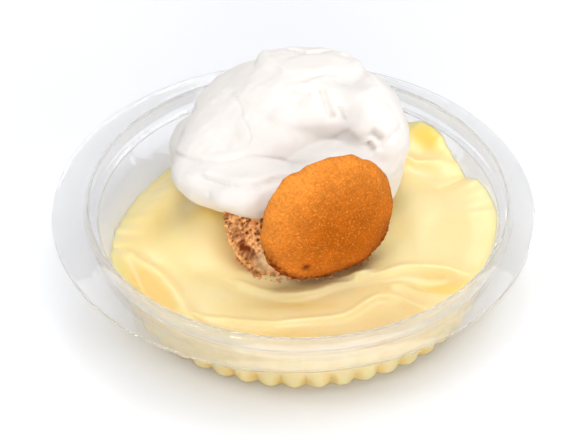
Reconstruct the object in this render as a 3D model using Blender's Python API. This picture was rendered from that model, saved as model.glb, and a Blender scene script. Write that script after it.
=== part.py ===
# Banana pudding in a clear fluted plastic bowl, with whipped cream and two vanilla wafers.
# Metres, +Z up. The origin is the middle of the round rim, on the surface that the bowl stands on.

import math

import bmesh
import bpy
from mathutils import Matrix, Vector

# Bowl: a thin clear pressed shell with a wide flat band, a raised crest, a ledge and fluted sides.
WALL = 0.0006
RIM_RADIUS = 0.0670
RIM_HEIGHT = 0.0242
BAND_RADIUS = 0.0626
BAND_RISE = 0.0010
FOOT_RADIUS = 0.0608
STEP_RADIUS = 0.0591
STEP_RISE = 0.0022
CREST_RADIUS = 0.0578
CREST_RISE = 0.0033
LEDGE_OUTER_RADIUS = 0.0580
LEDGE_INNER_RADIUS = 0.0555
LEDGE_DROP = 0.0027
LEDGE_BEND = 0.0008
LEDGE_BEND_DROP = 0.0016
LEDGE_LIP = 0.0002
SHOULDER_RADIUS = 0.0530
SHOULDER_HEIGHT = 0.0168
SIDE_RADIUS = 0.0522
SIDE_HEIGHT = 0.0138
MIDDLE_SIDE_HEIGHT = 0.0075
LOW_SIDE_RADIUS = 0.0517
LOW_SIDE_HEIGHT = 0.0042
LOW_BEND = 0.0008
LOW_BEND_HEIGHT = 0.0024
BASE_RADIUS = 0.0458
BASE_BEND = 0.0028
BASE_BEND_RISE = 0.0008
FLUTES = 48
FLUTE_STEPS = 3
PLAIN_STEPS = 72
FLUTE_PHASE = math.radians(1.35)
FLUTE_DEPTH = 0.0018
# The trimmed edge is not centred on the body: the body stands a little to one side, and more at its base.
SHIFT_AT_CREST = 0.0013
SHIFT_AT_BASE = 0.0024
# The band's rings come back to the trimmed edge's centre this far inside that edge.
EDGE_MARGIN = 0.0004
# Widest that a corner may grow when the wall's outer side is set off, as a share of the wall.
MITRE_LIMIT = 0.35
SHARP_ANGLE = math.radians(40.0)

# Gaps between neighbours: the side gap is wider, because the flutes' flanks are steep.
GAP = 0.0003
SIDE_GAP = 0.00037

# Pudding: where its surface meets the wall, as azimuth in degrees and depth below the rim's edge.
WALL_CONTACT = [
    (0, 0.0034), (5, 0.0040), (11, 0.0045), (17, 0.0053), (24, 0.0081), (31, 0.0068), (36, 0.0054),
    (40, 0.0035), (44, 0.0029), (48, 0.0030), (53, 0.0048), (62, 0.0080), (90, 0.0090), (130, 0.0150),
    (150, 0.0157), (163, 0.0152), (171, 0.0140), (180, 0.0112), (190, 0.0083), (199, 0.0051), (206, 0.0036),
    (235, 0.0034), (280, 0.0040), (312, 0.0044), (325, 0.0062), (338, 0.0042),
]
MIDDLE_DEPTH = 0.0088
SHORE_WIDTH = 0.24
# Broad swells of the surface: centre x and y, radius, rise.
SWELLS = [
    (0.036, -0.016, 0.017, 0.0042),
    (-0.042, 0.004, 0.011, -0.0035),
    (-0.024, 0.000, 0.011, 0.0045),
    (0.000, -0.046, 0.012, 0.0026),
    (0.046, 0.022, 0.012, -0.0022),
    (0.030, 0.040, 0.012, 0.0026),
    (0.044, 0.003, 0.013, 0.0028),
]
# Folds left by the spoon: points along the crest, its rise, its half width, and the drop on its right.
FOLDS = [
    ([(-0.0465, -0.0086), (-0.0420, -0.0139), (-0.0380, -0.0173), (-0.0320, -0.0266), (-0.0268, -0.0388)],
     0.0016, 0.0040, 0.0016),
    ([(0.0190, -0.0262), (0.0288, -0.0230), (0.0342, -0.0222), (0.0423, -0.0232), (0.0485, -0.0262)],
     0.0014, 0.0032, 0.0018),
    ([(0.0096, -0.0396), (0.0149, -0.0388), (0.0209, -0.0343), (0.0283, -0.0349), (0.0359, -0.0400)],
     0.0010, 0.0026, 0.0008),
]
# A fold's step dies away over this many half widths, and every fold fades out in this share by the wall.
FOLD_REACH = 2.4
FOLD_FADE = 0.14
# Where the pudding's side has its two upper rows, as shares of its height above the fluted foot.
LOW_ROW_SHARE = 0.45
HIGH_ROW_SHARE = 0.75
PUDDING_ROUND = 72
PUDDING_RINGS = 11

# Vanilla wafers: radius, thickness, place, and how far each is turned and tilted, in degrees.
FRONT_WAFER = {
    "radius": 0.0194, "thickness": 0.0086,
    "centre": (0.0089, -0.0204, 0.0354), "turn": 22.6, "tilt": 1.5,
}
BACK_WAFER = {
    "radius": 0.0178, "thickness": 0.0080,
    "centre": (-0.0013, -0.0093, 0.0265), "turn": 12.0, "tilt": 40.0,
}
WAFER_ROUND = 28
# Height of the widest edge above the flat side, and the rounding below it as shares of radius and height.
WAFER_EDGE_HEIGHT = 0.0020
WAFER_UNDERSIDE = [(0.80, 1.0), (0.93, 0.80), (0.99, 0.35), (1.0, 0.0)]
# The dome's rows, in degrees up from the edge, and the powers that make it full at the edge and flat on top.
WAFER_DOME_ROWS = (18, 36, 54, 70, 82)
WAFER_FULLNESS = 0.72
WAFER_DOME_POWER = 1.15
# How the outline departs from round: times per turn, share of the radius, phase.
WAFER_WAVES = [(2, 0.012, 0.6), (3, 0.008, 2.0)]
CUT_CLEARANCE = 0.0003

# Whipped cream: scoops that run into each other: centre, half sizes and turn about Z in degrees.
CREAM_HEART = (-0.001, 0.019, 0.032)
CREAM_SCOOPS = [
    ((-0.0020, 0.0230, 0.0250), (0.0338, 0.0262, 0.0130), 0),
    ((-0.0108, 0.0060, 0.0319), (0.0228, 0.0174, 0.0094), 10),
    ((-0.0043, 0.0217, 0.0372), (0.0237, 0.0233, 0.0130), 0),
    ((0.0024, 0.0207, 0.0448), (0.0212, 0.0162, 0.0095), -12),
    ((0.0048, 0.0261, 0.0522), (0.0152, 0.0075, 0.0025), -8),
    ((0.0198, 0.0152, 0.0393), (0.0113, 0.0160, 0.0147), 20),
    ((0.0253, 0.0074, 0.0302), (0.0047, 0.0094, 0.0116), -18),
    ((-0.0184, 0.0170, 0.0307), (0.0130, 0.0147, 0.0137), 0),
    ((0.0105, -0.0030, 0.0350), (0.0140, 0.0130, 0.0100), 22),
    ((-0.0085, -0.0068, 0.0342), (0.0140, 0.0088, 0.0062), 8),
]
# How softly the scoops run together, and how much of that blend swells the cream.
CREAM_BLEND = 0.06
CREAM_SWELL = 0.5
CREAM_ROUND = 46
CREAM_RINGS = 22


def smooth(value):
    """Rises from 0 to 1 with level ends."""
    value = min(max(value, 0.0), 1.0)
    return value * value * (3.0 - 2.0 * value)


def plain_material(name, colour, roughness, alpha=1.0):
    material = bpy.data.materials.new(name)
    material.use_nodes = True
    shader = material.node_tree.nodes["Principled BSDF"]
    shader.inputs["Base Color"].default_value = (*colour, 1.0)
    shader.inputs["Roughness"].default_value = roughness
    shader.inputs["Metallic"].default_value = 0.0
    shader.inputs["Alpha"].default_value = alpha
    return material


def object_from(mesh_data, name, material):
    """Makes a smooth shaded object from a bmesh, with its faces pointing out."""
    bmesh.ops.recalc_face_normals(mesh_data, faces=mesh_data.faces[:])
    mesh = bpy.data.meshes.new(name)
    mesh_data.to_mesh(mesh)
    mesh_data.free()
    mesh.materials.append(material)
    mesh.shade_smooth()
    mesh.set_sharp_from_angle(angle=SHARP_ANGLE)
    item = bpy.data.objects.new(name, mesh)
    bpy.context.scene.collection.objects.link(item)
    return item


def body_shift(height):
    """How far the body's axis stands from the rim's, towards +X, at this height."""
    up = min(max(height / RIM_HEIGHT, 0.0), 1.0)
    return SHIFT_AT_BASE + (SHIFT_AT_CREST - SHIFT_AT_BASE) * up


def inner_profile():
    """The bowl's upper side from the floor out to the rim: radius, height, share of the flute depth."""
    rim = RIM_HEIGHT
    ledge = rim - LEDGE_DROP
    return [
        (BASE_RADIUS, WALL, 0.55),
        (BASE_RADIUS + BASE_BEND, WALL + BASE_BEND_RISE, 0.85),
        (LOW_SIDE_RADIUS - LOW_BEND, LOW_BEND_HEIGHT, 1.0),
        (LOW_SIDE_RADIUS, LOW_SIDE_HEIGHT, 1.0),
        ((2.0 * LOW_SIDE_RADIUS + SIDE_RADIUS) / 3.0, MIDDLE_SIDE_HEIGHT, 0.58),
        (SIDE_RADIUS, SIDE_HEIGHT, 0.12),
        (SHOULDER_RADIUS, SHOULDER_HEIGHT, 0.08),
        (LEDGE_INNER_RADIUS - LEDGE_BEND, ledge - LEDGE_BEND_DROP, 0.02),
        (LEDGE_INNER_RADIUS, ledge + LEDGE_LIP, 0.0),
        (LEDGE_OUTER_RADIUS, ledge, 0.0),
        (CREST_RADIUS, rim + CREST_RISE, 0.0),
        (STEP_RADIUS, rim + STEP_RISE, 0.0),
        (FOOT_RADIUS, rim + BAND_RISE + LEDGE_LIP, 0.0),
        (BAND_RADIUS, rim + BAND_RISE, 0.0),
        (RIM_RADIUS, rim, 0.0),
    ]


def offset_profile(profile, distance):
    """The same profile moved sideways, to the outer side, by the wall's thickness."""
    points = [Vector((radius, height)) for radius, height, _ in profile]
    points = [Vector((0.0, profile[0][1]))] + points
    moved = []
    for index, (_, _, flute) in enumerate(profile, start=1):
        before = (points[index] - points[index - 1]).normalized()
        after = before
        if index + 1 < len(points):
            after = (points[index + 1] - points[index]).normalized()
        side = Vector((before.y, -before.x)) + Vector((after.y, -after.x))
        side.normalize()
        reach = distance / max(side.dot(Vector((before.y, -before.x))), MITRE_LIMIT)
        moved.append((points[index].x + side.x * reach, points[index].y + side.y * reach, flute))
    return moved


def flute(angle):
    """0 on the crown of a flute and -1 in the valley between two."""
    place = ((angle - FLUTE_PHASE) / (2.0 * math.pi) * FLUTES) % 1.0
    return math.sin(math.pi * place) - 1.0


def ring_points(radius, height, share, steps):
    """One ring of the bowl, fluted by its share; the free rim is centred on the origin."""
    shift = body_shift(height)
    if radius > BAND_RADIUS:
        shift *= max(0.0, 1.0 - (radius - BAND_RADIUS) / (RIM_RADIUS - BAND_RADIUS - EDGE_MARGIN))
    points = []
    for step in range(steps):
        angle = FLUTE_PHASE + 2.0 * math.pi * step / steps
        reach = radius + share * FLUTE_DEPTH * flute(angle)
        points.append((shift + reach * math.cos(angle), reach * math.sin(angle), height))
    return points


def stack_rings(mesh_data, rings):
    """Joins rings of equal count from first to last and returns their vertices."""
    made = [[mesh_data.verts.new(point) for point in ring] for ring in rings]
    for low, high in zip(made, made[1:]):
        count = len(low)
        for index in range(count):
            after = (index + 1) % count
            mesh_data.faces.new((low[index], low[after], high[after], high[index]))
    return made


def join_rings(mesh_data, outer, inner):
    """Fills between two closed rings, also where one has more points than the other."""
    outer_count, inner_count = len(outer), len(inner)
    outer_index = inner_index = 0
    while outer_index < outer_count or inner_index < inner_count:
        outer_next = (outer_index + 1) / outer_count
        inner_next = (inner_index + 1) / inner_count
        here_outer, here_inner = outer[outer_index % outer_count], inner[inner_index % inner_count]
        if outer_next <= inner_next + 1e-9 and outer_index < outer_count:
            mesh_data.faces.new((here_outer, outer[(outer_index + 1) % outer_count], here_inner))
            outer_index += 1
        else:
            mesh_data.faces.new((here_outer, inner[(inner_index + 1) % inner_count], here_inner))
            inner_index += 1


def make_bowl():
    steps = FLUTES * FLUTE_STEPS
    inner = inner_profile()
    outer = offset_profile(inner, WALL)
    first = outer[0]
    outer[0] = (first[0], 0.0, first[2])
    route = outer + inner[::-1]
    mesh_data = bmesh.new()
    last = None
    for radius, height, share in route:
        count = steps if share > 0.0 else PLAIN_STEPS
        ring = [mesh_data.verts.new(point) for point in ring_points(radius, height, share, count)]
        if last is None:
            mesh_data.faces.new(ring[::-1])
        else:
            join_rings(mesh_data, last, ring)
        last = ring
    mesh_data.faces.new(last)
    return object_from(mesh_data, "bowl", plain_material("clear_plastic", (0.93, 0.94, 0.95), 0.08, 0.35))


def side_profile():
    """The pudding's side: the wall's inner face, moved in by the gap, from the floor up to the ledge."""
    to_ledge = inner_profile()[:9]
    return offset_profile(to_ledge, -SIDE_GAP)


def side_at(height):
    """The pudding's radius on a flute's crown, and its share of the flute depth, at a height."""
    profile = side_profile()
    for (low_radius, low, low_share), (high_radius, high, high_share) in zip(profile, profile[1:]):
        if low <= height <= high:
            along = (height - low) / (high - low)
            radius = low_radius + (high_radius - low_radius) * along
            return radius, low_share + (high_share - low_share) * along
    return profile[-1][0], profile[-1][2]


def contact_height(angle):
    """Height at which the pudding meets the wall, smooth all the way round."""
    degrees = math.degrees(angle) % 360.0
    table = WALL_CONTACT + [(WALL_CONTACT[0][0] + 360.0, WALL_CONTACT[0][1])]
    for (low, low_depth), (high, high_depth) in zip(table, table[1:]):
        if low <= degrees <= high:
            part = smooth((degrees - low) / (high - low))
            return RIM_HEIGHT - (low_depth + (high_depth - low_depth) * part)
    return RIM_HEIGHT - table[0][1]


def fold_height(x, y, crest, rise, width, drop):
    """A soft ridge along a line of points, with a step down on its right hand side."""
    best = None
    place = Vector((x, y))
    for start, end in zip(crest, crest[1:]):
        start, end = Vector(start), Vector(end)
        along = end - start
        part = min(max((place - start).dot(along) / along.length_squared, 0.0), 1.0)
        near = start + along * part
        away = place - near
        side = along.x * away.y - along.y * away.x
        if best is None or away.length < best[0]:
            best = (away.length, side)
    distance, side = best
    ridge = rise * math.exp(-(distance / width) ** 2)
    if side < 0.0:
        ridge -= drop * smooth(distance / width) * math.exp(-(distance / (FOLD_REACH * width)) ** 2)
    return ridge


def surface_height(x, y, angle, share_out):
    """Height of the pudding's surface; share_out runs from 0 in the middle to 1 at the wall."""
    middle = RIM_HEIGHT - MIDDLE_DEPTH
    for swell_x, swell_y, radius, rise in SWELLS:
        middle += rise * math.exp(-((x - swell_x) ** 2 + (y - swell_y) ** 2) / radius ** 2)
    shore = smooth((share_out - (1.0 - SHORE_WIDTH)) / SHORE_WIDTH)
    height = middle + (contact_height(angle) - middle) * shore
    folds = sum(fold_height(x, y, *fold) for fold in FOLDS)
    return height + folds * smooth((1.0 - share_out) / FOLD_FADE)


def make_pudding():
    """Fills the bowl up to an uneven surface, a hair inside the wall."""
    steps = FLUTES * FLUTE_STEPS
    profile = side_profile()
    fixed = [height for _, height, _ in profile[:5]]
    mesh_data = bmesh.new()
    rows = [[] for _ in range(len(fixed) + 3)]
    for step in range(steps):
        angle = FLUTE_PHASE + 2.0 * math.pi * step / steps
        top = contact_height(angle)
        room = top - fixed[-1]
        low_bend = min(profile[5][1], fixed[-1] + LOW_ROW_SHARE * room)
        high_bend = min(profile[6][1], fixed[-1] + HIGH_ROW_SHARE * room)
        for row, height in zip(rows, fixed + [low_bend, high_bend, top]):
            radius, share = side_at(height)
            reach = radius + share * FLUTE_DEPTH * flute(angle)
            shift = body_shift(height)
            row.append(Vector((shift + reach * math.cos(angle), reach * math.sin(angle), height)))
    rings = stack_rings(mesh_data, rows)
    mesh_data.faces.new(rings[0][::-1])
    outline = [vertex.co.copy() for vertex in rings[-1]]
    last = rings[-1]
    for ring in range(1, PUDDING_RINGS):
        share_out = 1.0 - ring / PUDDING_RINGS
        count = steps if ring < 2 else PUDDING_ROUND
        ring_vertices = []
        for step in range(count):
            angle = FLUTE_PHASE + 2.0 * math.pi * step / count
            edge = outline[round(step * steps / count) % steps]
            x = body_shift(edge.z) + (edge.x - body_shift(edge.z)) * share_out
            y = edge.y * share_out
            ring_vertices.append(mesh_data.verts.new((x, y, surface_height(x, y, angle, share_out))))
        join_rings(mesh_data, last, ring_vertices)
        last = ring_vertices
    centre = mesh_data.verts.new((SHIFT_AT_CREST, 0.0, surface_height(SHIFT_AT_CREST, 0.0, 0.0, 0.0)))
    for index in range(len(last)):
        mesh_data.faces.new((last[index], last[(index + 1) % len(last)], centre))
    return object_from(mesh_data, "pudding", plain_material("banana_pudding", (0.95, 0.80, 0.42), 0.35))


def wafer_matrix(wafer):
    """Stands a wafer on edge: its domed side faces -Y, turned towards +X and tilted up."""
    turn = Matrix.Rotation(math.radians(wafer["turn"]), 4, "Z")
    tilt = Matrix.Rotation(math.radians(90.0 - wafer["tilt"]), 4, "X")
    return Matrix.Translation(wafer["centre"]) @ turn @ tilt


def wafer_mesh(wafer, grow, flip):
    """A round biscuit with a flat side and a low dome, bigger all round by grow."""
    radius, thickness = wafer["radius"], wafer["thickness"]
    under = WAFER_EDGE_HEIGHT
    outline = [(radius * out, -under * down) for out, down in WAFER_UNDERSIDE]
    dome = thickness - under
    for degrees in WAFER_DOME_ROWS:
        angle = math.radians(degrees)
        outline.append((
            radius * math.cos(angle) ** WAFER_FULLNESS, dome * math.sin(angle) ** WAFER_DOME_POWER))
    mesh_data = bmesh.new()
    rings = []
    for reach, height in outline:
        grown = reach + grow * (reach / radius)
        level = height + (grow if height > 0.0 else -grow)
        ring = []
        for step in range(WAFER_ROUND):
            angle = 2.0 * math.pi * step / WAFER_ROUND
            uneven = 1.0 + sum(size * math.sin(times * angle + phase) for times, size, phase in WAFER_WAVES)
            ring.append((grown * uneven * math.cos(angle), grown * uneven * math.sin(angle), level))
        rings.append(ring)
    made = stack_rings(mesh_data, rings)
    mesh_data.faces.new(made[0][::-1])
    top = mesh_data.verts.new((0.0, 0.0, dome + grow))
    for index in range(WAFER_ROUND):
        mesh_data.faces.new((made[-1][index], made[-1][(index + 1) % WAFER_ROUND], top))
    if flip:
        bmesh.ops.rotate(mesh_data, verts=mesh_data.verts, matrix=Matrix.Rotation(math.pi, 3, "X"))
    mesh_data.transform(wafer_matrix(wafer))
    return mesh_data


def scoop_reach(origin, direction):
    """Distance from the heart of the cream to its surface along a direction, over all scoops blended."""
    reaches = []
    for centre, half, turn in CREAM_SCOOPS:
        spin = Matrix.Rotation(math.radians(-turn), 3, "Z")
        start = spin @ (origin - Vector(centre))
        way = spin @ direction
        start = Vector([start[axis] / half[axis] for axis in range(3)])
        way = Vector([way[axis] / half[axis] for axis in range(3)])
        square = way.length_squared
        cross = start.dot(way)
        rest = start.length_squared - 1.0
        under = cross * cross - square * rest
        if under > 0.0:
            reach = (-cross + math.sqrt(under)) / square
            if reach > 0.0:
                reaches.append(reach)
    longest = max(reaches)
    blend = longest * CREAM_BLEND
    total = sum(math.exp((reach - longest) / blend) for reach in reaches)
    return longest + blend * math.log(total) * CREAM_SWELL


def make_cream():
    """A spooned dollop of whipped cream, laid against the back wafer."""
    heart = Vector(CREAM_HEART)
    mesh_data = bmesh.new()
    rings = []
    for ring in range(1, CREAM_RINGS):
        polar = math.pi * ring / CREAM_RINGS
        points = []
        for step in range(CREAM_ROUND):
            angle = 2.0 * math.pi * step / CREAM_ROUND
            direction = Vector((
                math.sin(polar) * math.cos(angle), math.sin(polar) * math.sin(angle), -math.cos(polar)))
            points.append(heart + direction * scoop_reach(heart, direction))
        rings.append(points)
    made = stack_rings(mesh_data, rings)
    low = mesh_data.verts.new(heart + Vector((0, 0, -1)) * scoop_reach(heart, Vector((0, 0, -1))))
    high = mesh_data.verts.new(heart + Vector((0, 0, 1)) * scoop_reach(heart, Vector((0, 0, 1))))
    for index in range(CREAM_ROUND):
        after = (index + 1) % CREAM_ROUND
        mesh_data.faces.new((made[0][after], made[0][index], low))
        mesh_data.faces.new((made[-1][index], made[-1][after], high))
    return object_from(mesh_data, "whipped_cream", plain_material("whipped_cream", (0.95, 0.93, 0.90), 0.55))


def cut(item, cutter, label):
    """Takes the cutter's space out of an item."""
    cutter.hide_render = True
    cutter.display_type = "WIRE"
    modifier = item.modifiers.new(label, "BOOLEAN")
    modifier.operation = "DIFFERENCE"
    modifier.solver = "EXACT"
    modifier.object = cutter


for old in list(bpy.data.objects):
    bpy.data.objects.remove(old, do_unlink=True)

wafer_crust = plain_material("baked_wafer", (0.76, 0.36, 0.10), 0.75)
wafer_under = plain_material("wafer_underside", (0.72, 0.45, 0.22), 0.85)
no_finish = plain_material("cutter", (0.5, 0.5, 0.5), 0.5)

bowl = make_bowl()
pudding = make_pudding()
cream = make_cream()
front_wafer = object_from(wafer_mesh(FRONT_WAFER, 0.0, False), "wafer_front", wafer_crust)
back_wafer = object_from(wafer_mesh(BACK_WAFER, 0.0, True), "wafer_back", wafer_under)

raised = bpy.data.objects.new("cutter_pudding", pudding.data.copy())
raised.location = (0.0, 0.0, GAP)
bpy.context.scene.collection.objects.link(raised)
front_space = object_from(wafer_mesh(FRONT_WAFER, CUT_CLEARANCE, False), "cutter_front", no_finish)
back_space = object_from(wafer_mesh(BACK_WAFER, CUT_CLEARANCE, True), "cutter_back", no_finish)

cut(pudding, front_space, "room_for_front_wafer")
cut(pudding, back_space, "room_for_back_wafer")
cut(cream, raised, "rests_on_pudding")
cut(cream, front_space, "room_for_front_wafer")
cut(cream, back_space, "room_for_back_wafer")
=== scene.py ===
import math

import bpy
import numpy as np
from mathutils import Matrix, Vector


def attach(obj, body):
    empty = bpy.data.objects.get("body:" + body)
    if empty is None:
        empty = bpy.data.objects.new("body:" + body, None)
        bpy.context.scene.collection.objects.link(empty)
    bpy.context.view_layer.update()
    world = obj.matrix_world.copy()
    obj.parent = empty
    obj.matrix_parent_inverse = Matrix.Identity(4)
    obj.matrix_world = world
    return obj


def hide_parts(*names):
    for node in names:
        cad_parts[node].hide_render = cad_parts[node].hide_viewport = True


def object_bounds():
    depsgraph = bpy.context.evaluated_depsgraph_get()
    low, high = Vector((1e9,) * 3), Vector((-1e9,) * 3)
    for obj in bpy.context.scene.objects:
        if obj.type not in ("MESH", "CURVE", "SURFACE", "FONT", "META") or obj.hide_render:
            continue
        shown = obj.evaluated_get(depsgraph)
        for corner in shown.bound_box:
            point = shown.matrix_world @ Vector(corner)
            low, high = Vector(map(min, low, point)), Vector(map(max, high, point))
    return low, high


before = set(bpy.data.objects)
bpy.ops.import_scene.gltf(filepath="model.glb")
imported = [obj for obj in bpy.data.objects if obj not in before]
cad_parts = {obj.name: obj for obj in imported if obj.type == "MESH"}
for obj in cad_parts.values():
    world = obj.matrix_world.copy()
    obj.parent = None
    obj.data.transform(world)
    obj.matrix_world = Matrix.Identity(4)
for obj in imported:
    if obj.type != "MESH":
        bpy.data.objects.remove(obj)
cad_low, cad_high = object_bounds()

# The bowl. One sheet of clear plastic, pressed over a mould into a flat base, fluted sides, a ledge for a
# lid, a raised crest and a wide band with a trimmed edge. The body stands a little off the band's middle.
wall = 0.0006
rim_height = 0.0242
inside_cad = 0.00020
rim_radius = cad_high.x - inside_cad
band_radius = 0.0626
ledge_radius = 0.0555
base_radius = 0.0458
flutes = 48
bowl_around = flutes * 6
flute_depth = 0.0018
flute_phase = math.radians(1.35)
shift_at_crest = 0.0013
shift_at_base = 0.0024
# The band's last stretch, at its trimmed edge, is centred on the origin, and the body stands off it.
edge_width = 0.0004
# Radius, height and share of the flutes' depth, along the upper face from the floor out to the trimmed edge.
bowl_profile = [
    (base_radius, wall, 0.55),
    (base_radius + 0.0014, wall + 0.0002, 0.70),
    (base_radius + 0.0030, wall + 0.0009, 0.88),
    (0.0504, 0.0021, 1.0),
    (0.0514, 0.0034, 1.0),
    (0.0517, 0.0052, 0.90),
    (0.0519, 0.0072, 0.40),
    (0.0520, 0.0088, 0.14),
    (0.0522, 0.0138, 0.08),
    (0.0530, 0.0168, 0.06),
    (0.0541, 0.0188, 0.05),
    (0.0550, 0.0204, 0.02),
    (0.0554, 0.0212, 0.01),
    (ledge_radius + 0.0001, 0.0217, 0.0),
    (ledge_radius + 0.0006, 0.0217, 0.0),
    (0.0575, 0.0217, 0.0),
    (0.0580, 0.0217, 0.0),
    (0.0580, 0.0220, 0.0),
    (0.0578, 0.0268, 0.0),
    (0.0578, 0.0273, 0.0),
    (0.0580, 0.0275, 0.0),
    (0.0584, 0.0271, 0.0),
    (0.0590, 0.0265, 0.0),
    (0.0594, 0.0262, 0.0),
    (0.0605, 0.0256, 0.0),
    (0.0610, 0.0255, 0.0),
    (0.0618, 0.0253, 0.0),
    (band_radius, 0.0251, 0.0),
    (0.0630, 0.0250, 0.0),
    (0.0655, 0.0244, 0.0),
    (0.0661, 0.0242, 0.0),
    (0.0665, 0.0241, 0.0),
    (rim_radius, 0.0242, 0.0),
]
# The first rings, from the floor up to the ledge, are the fluted side.
side_rings = 14
side_radii, side_heights, side_shares = np.array(bowl_profile[:side_rings]).T


def body_shift(height):
    """How far the body's axis stands to +X of the band's, at this height."""
    up = np.clip(height / rim_height, 0.0, 1.0)
    return shift_at_base + (shift_at_crest - shift_at_base) * up


def flute_wave(angle):
    """0 on a flute's crown and -1 in the sharp valley beside it."""
    place = ((angle - flute_phase) / (2.0 * math.pi) * flutes) % 1.0
    return np.sin(np.pi * place) - 1.0


def apply_modifier(item, kind, **settings):
    bpy.ops.object.select_all(action="DESELECT")
    item.select_set(True)
    bpy.context.view_layer.objects.active = item
    modifier = item.modifiers.new(kind, kind)
    for name, value in settings.items():
        setattr(modifier, name, value)
    bpy.ops.object.modifier_apply(modifier=modifier.name)


def points_of(item):
    found = np.zeros(len(item.data.vertices) * 3)
    item.data.vertices.foreach_get("co", found)
    return found.reshape(-1, 3)


def place_points(item, points):
    item.data.vertices.foreach_set("co", np.asarray(points, dtype=float).ravel())
    item.data.update()


def turned_rings(name, rings, around):
    """Starts as a filled circle and grows ring by ring: each is a radius, a height and a shift to +X."""
    radius, height, shift = rings[0]
    bpy.ops.object.select_all(action="DESELECT")
    bpy.ops.mesh.primitive_circle_add(
        vertices=around, radius=radius, fill_type="NGON",
        location=(shift, 0.0, height), rotation=(0.0, 0.0, flute_phase))
    item = bpy.context.object
    item.name = item.data.name = name
    bpy.ops.object.transform_apply(location=True, rotation=True, scale=True)
    bpy.ops.object.mode_set(mode="EDIT")
    bpy.ops.mesh.select_mode(type="EDGE")
    bpy.ops.mesh.select_all(action="SELECT")
    bpy.ops.mesh.region_to_loop()
    for next_radius, next_height, next_shift in rings[1:]:
        bpy.ops.mesh.extrude_edges_move()
        grow = next_radius / radius
        bpy.ops.transform.resize(value=(grow, grow, 1.0), center_override=(shift, 0.0, height))
        bpy.ops.transform.translate(value=(next_shift - shift, 0.0, next_height - height))
        radius, height, shift = next_radius, next_height, next_shift
    bpy.ops.object.mode_set(mode="OBJECT")
    return item


def ring_shift(radius, height):
    """The band's rings drift back to the trimmed edge's own centre."""
    shift = float(body_shift(height))
    if radius > band_radius:
        shift *= max(0.0, 1.0 - (radius - band_radius) / (rim_radius - band_radius - edge_width))
    return shift


bowl_rings = [(radius, height, ring_shift(radius, height)) for radius, height, _ in bowl_profile]
bowl = turned_rings("bowl_shell", bowl_rings, bowl_around)
points = points_of(bowl)
away = points[:, 0] - body_shift(points[:, 2])
reach = np.hypot(away, points[:, 1])
angle = np.arctan2(points[:, 1], away)
share = np.interp(points[:, 2], side_heights, side_shares)
press = share * flute_depth * flute_wave(angle) / reach
points[:, 0] += away * press
points[:, 1] += points[:, 1] * press
place_points(bowl, points)
apply_modifier(bowl, "SUBSURF", levels=1, render_levels=1, use_limit_surface=False)
apply_modifier(bowl, "SOLIDIFY", thickness=wall, offset=-1.0)
bpy.ops.object.shade_smooth()


def new_material(name):
    made = bpy.data.materials.new(name)
    made.use_nodes = True
    return made


def set_inputs(node, **inputs):
    """Sets a node's inputs; an underscore in a name stands for the space in the socket's name."""
    for name, value in inputs.items():
        node.inputs[name.replace("_", " ")].default_value = value
    return node


def add_node(owner, kind, **inputs):
    return set_inputs(owner.node_tree.nodes.new("ShaderNode" + kind), **inputs)


def join(owner, output, entry):
    owner.node_tree.links.new(output, entry)


def add_noise(material, scale, detail):
    """Uneven values between 0 and 1 over the piece, which is measured in metres."""
    noise = add_node(material, "TexNoise", Scale=scale, Detail=detail)
    join(material, add_node(material, "TexCoord").outputs["Object"], noise.inputs["Vector"])
    return noise.outputs["Fac"]


def add_bump(material, height, strength, distance, under=None):
    """Fine relief from a height, on top of another relief where one is given."""
    bump = add_node(material, "Bump", Strength=strength, Distance=distance)
    join(material, height, bump.inputs["Height"])
    if under is not None:
        join(material, under, bump.inputs["Normal"])
    return bump.outputs["Normal"]


def mix_shaders(owner, first, second, **inputs):
    mix = add_node(owner, "MixShader", **inputs)
    join(owner, first.outputs[0], mix.inputs[1])
    join(owner, second.outputs[0], mix.inputs[2])
    return mix


def finish(material, colour=None, relief=None, **inputs):
    """Sets the shader's own sockets, and joins a colour and a relief to it where they are given."""
    shader = set_inputs(material.node_tree.nodes["Principled BSDF"], **inputs)
    if colour is not None:
        join(material, colour, shader.inputs["Base Color"])
    if relief is not None:
        join(material, relief, shader.inputs["Normal"])
    return shader


clear_plastic = new_material("clear_plastic")
ripple = add_noise(clear_plastic, scale=160.0, detail=2.0)
plastic = finish(
    clear_plastic, relief=add_bump(clear_plastic, ripple, strength=0.06, distance=0.0003),
    Base_Color=(0.95, 0.95, 0.96, 1.0), Roughness=0.03, IOR=1.40, Transmission_Weight=0.91)
# The sheet is so thin that half of the light goes through it unbent. To the lamps it is plainly clear, and
# only dims them, so that it casts a soft shadow.
see_through = add_node(clear_plastic, "BsdfTransparent", Color=(0.985, 0.985, 0.985, 1.0))
thin_sheet = mix_shaders(clear_plastic, plastic, see_through, Fac=0.5)
shade_cast = add_node(clear_plastic, "BsdfTransparent", Color=(0.41, 0.42, 0.44, 1.0))
pass_lamps = mix_shaders(clear_plastic, thin_sheet, shade_cast)
ray = add_node(clear_plastic, "LightPath")
join(clear_plastic, ray.outputs["Is Shadow Ray"], pass_lamps.inputs["Fac"])
plastic_output = clear_plastic.node_tree.nodes["Material Output"]
join(clear_plastic, pass_lamps.outputs["Shader"], plastic_output.inputs["Surface"])
bowl.data.materials.append(clear_plastic)
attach(bowl, "root")
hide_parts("bowl")

# The pudding. A thick, cooked custard spooned into the bowl: it lies tight against the wall and its flutes,
# stands higher at the right and front than at the left, and keeps the folds that the spoon left in it.
pudding_around = flutes * 8
pudding_rings = 110
# The rows of points up its side, which crowd towards the foot by a power.
side_rows = 18
crowding = 1.4
# It reaches a little into the bowl's plastic, so that no air gap shows between them.
into_wall = 0.0002
into_floor = 0.0001
middle_depth = 0.0088
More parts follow.
